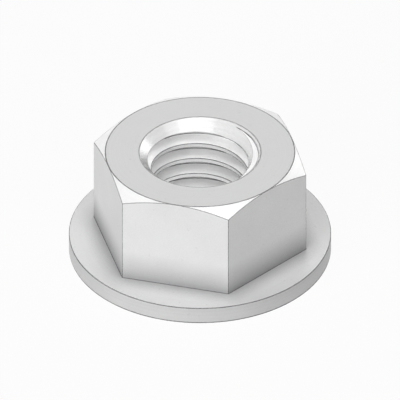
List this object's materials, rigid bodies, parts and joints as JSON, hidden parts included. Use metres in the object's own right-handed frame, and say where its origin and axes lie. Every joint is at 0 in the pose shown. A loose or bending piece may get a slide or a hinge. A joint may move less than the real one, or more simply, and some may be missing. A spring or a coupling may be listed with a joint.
{
  "type": "serrated flange nut",
  "caption": "Hexagon nut with an integral round flange, a right-hand M8 threaded hole and radial locking serrations on the bearing side.",
  "frame": {"origin": "on the nut's axis, in the plane of the bearing side", "axes": "+Z along the thread axis from the bearing side towards the top face; +X square to one flat of the hexagon"},
  "size_m": [0.0178, 0.0178, 0.008],
  "materials": {
    "plated_steel": "satin bright zinc plate"
  },
  "bodies": {
    "root": {"flange_nut": "plated_steel"}
  },
  "joints": []
}
